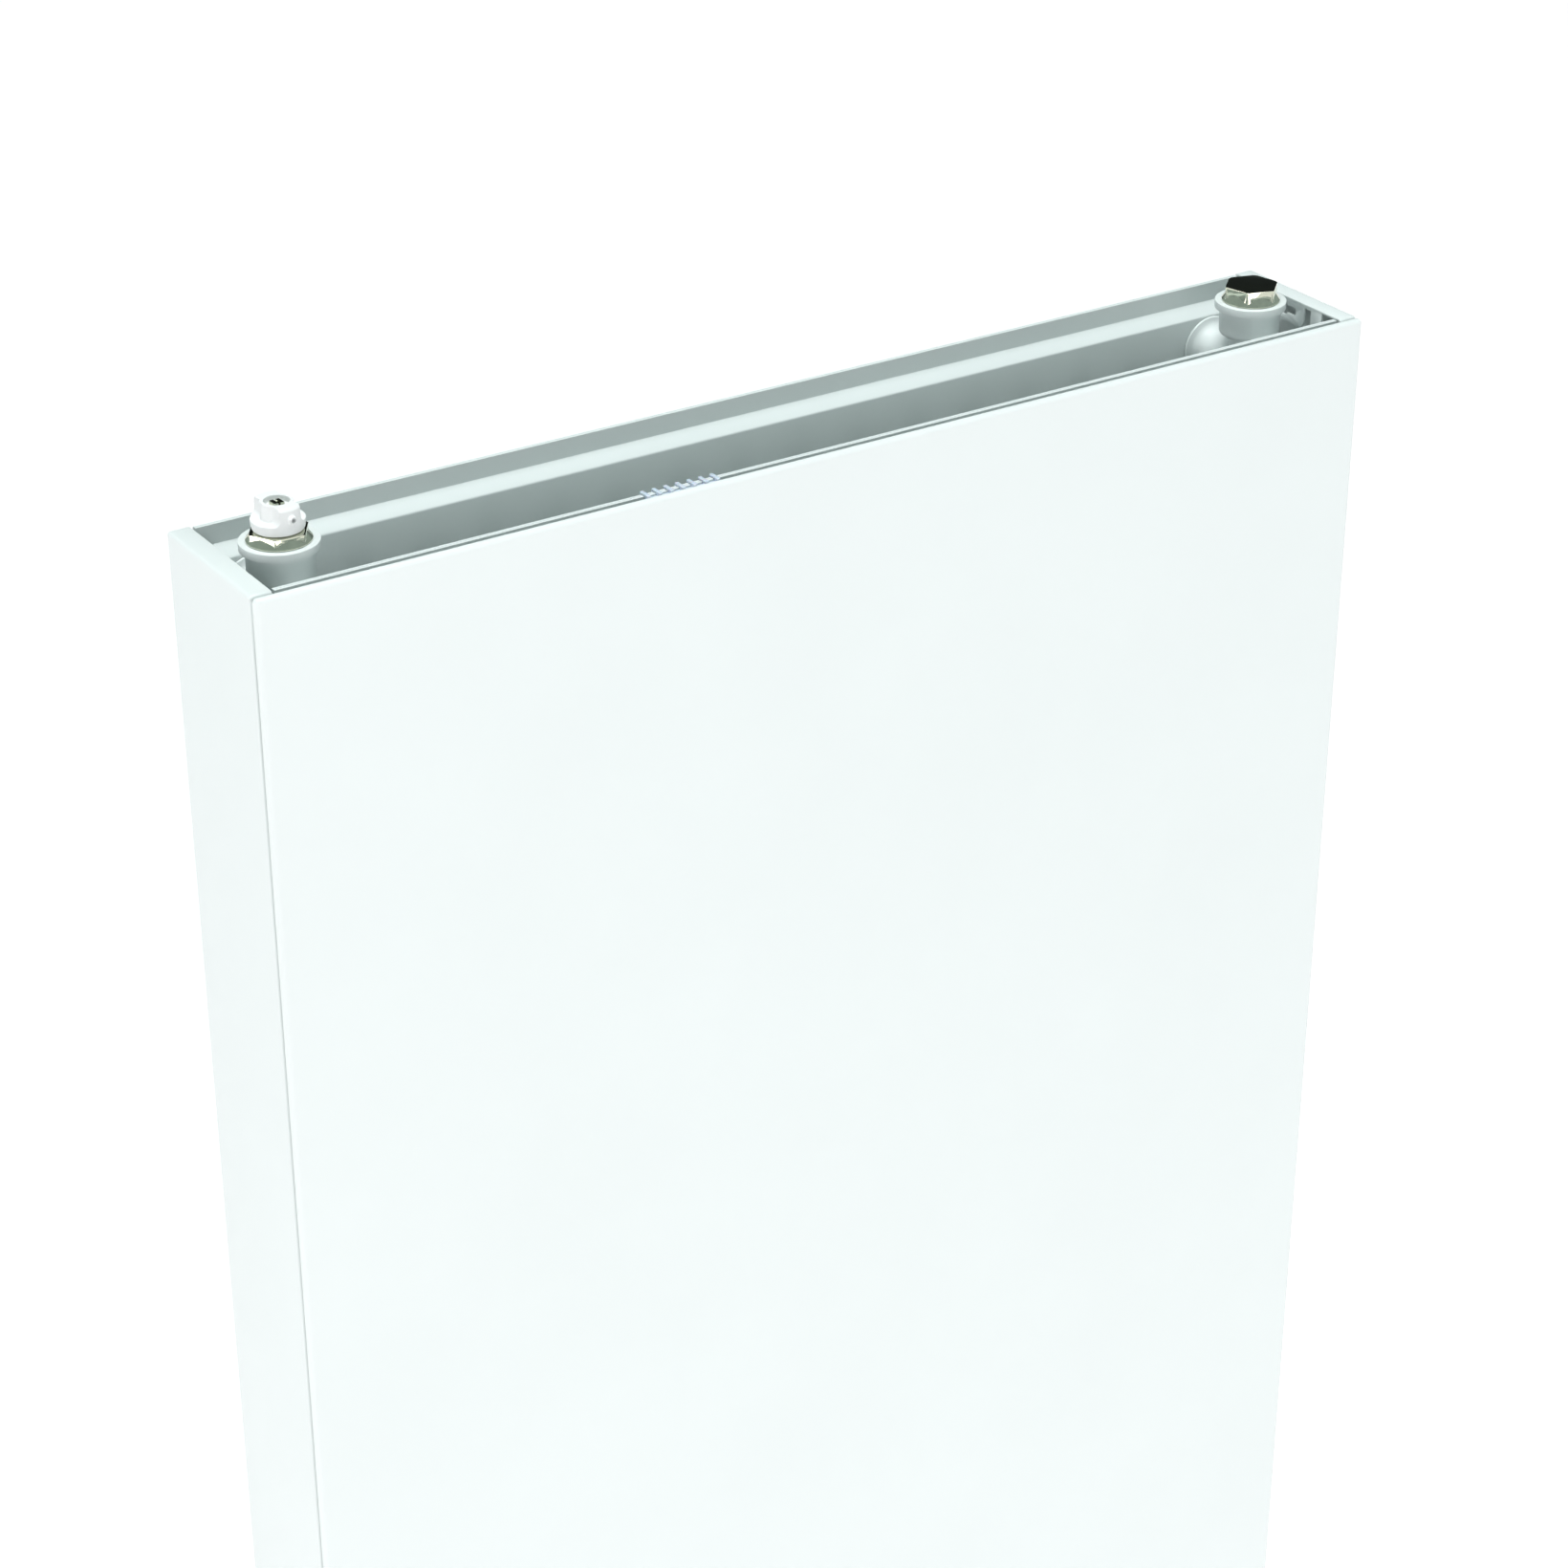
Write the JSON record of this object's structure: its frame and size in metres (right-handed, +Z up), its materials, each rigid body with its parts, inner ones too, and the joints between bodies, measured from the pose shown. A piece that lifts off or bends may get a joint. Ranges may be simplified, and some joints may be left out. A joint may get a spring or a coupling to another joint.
{
  "type": "panel radiator",
  "caption": "Tall flat-front steel panel radiator with an open top, side covers, corner tees, a blind plug and a swivelling air vent valve.",
  "frame": {"origin": "where the wall holds the radiator: middle of its width, wall-side face of the hanging lugs, underside of the upper lugs' shelves", "axes": "+X along the width, +Y towards the wall, +Z up"},
  "size_m": [0.6, 0.1039, 1.824],
  "materials": {
    "white_paint": "satin powder coat",
    "nickel_plated_brass": "polished nickel plate",
    "white_plastic": "satin moulded",
    "black_rubber": "matte",
    "pale_plastic": "satin moulded"
  },
  "bodies": {
    "radiator": {"front_plate": "white_paint", "front_panel_outer_sheet": "white_paint", "front_panel_inner_sheet": "white_paint", "rear_panel_inner_sheet": "white_paint", "rear_panel_outer_sheet": "white_paint", "left_cover": "white_paint", "right_cover": "white_paint", "upper_tee_left": "white_paint", "upper_tee_right": "white_paint", "lower_tee_left": "white_paint", "lower_tee_right": "white_paint", "blind_plug": "nickel_plated_brass", "plug_seal": "black_rubber", "vent_bush": "nickel_plated_brass", "bush_seal": "black_rubber", "vent_nozzle_seal": "black_rubber", "comb_clip": "pale_plastic", "upper_lug_left": "white_paint", "upper_lug_right": "white_paint", "lower_lug_left": "white_paint", "lower_lug_right": "white_paint"},
    "vent_nozzle": {"vent_nozzle": "white_plastic"},
    "vent_screw_tip": {"vent_screw_tip": "black_rubber"},
    "vent_screw": {"vent_screw": "nickel_plated_brass"}
  },
  "joints": [
    {"name": "vent_nozzle_swivel", "type": "hinge", "parent": "radiator", "child": "vent_nozzle", "pos_m": [-0.266, -0.05835, 0.145], "axis": [0, 0, 1], "continuous": true},
    {"name": "vent_screw_lift", "type": "slide", "parent": "radiator", "child": "vent_screw_tip", "axis": [0, 0, 1], "range_m": [0, 0.0015]},
    {"name": "vent_screw_turn", "type": "hinge", "parent": "vent_screw_tip", "child": "vent_screw", "pos_m": [-0.266, -0.05835, 0.145], "axis": [0, 0, 1], "range_deg": [0, 540]}
  ],
  "couplings": [
    {"joint": "vent_screw_turn", "follows": "vent_screw_lift", "rad_per_m": 6283}
  ]
}
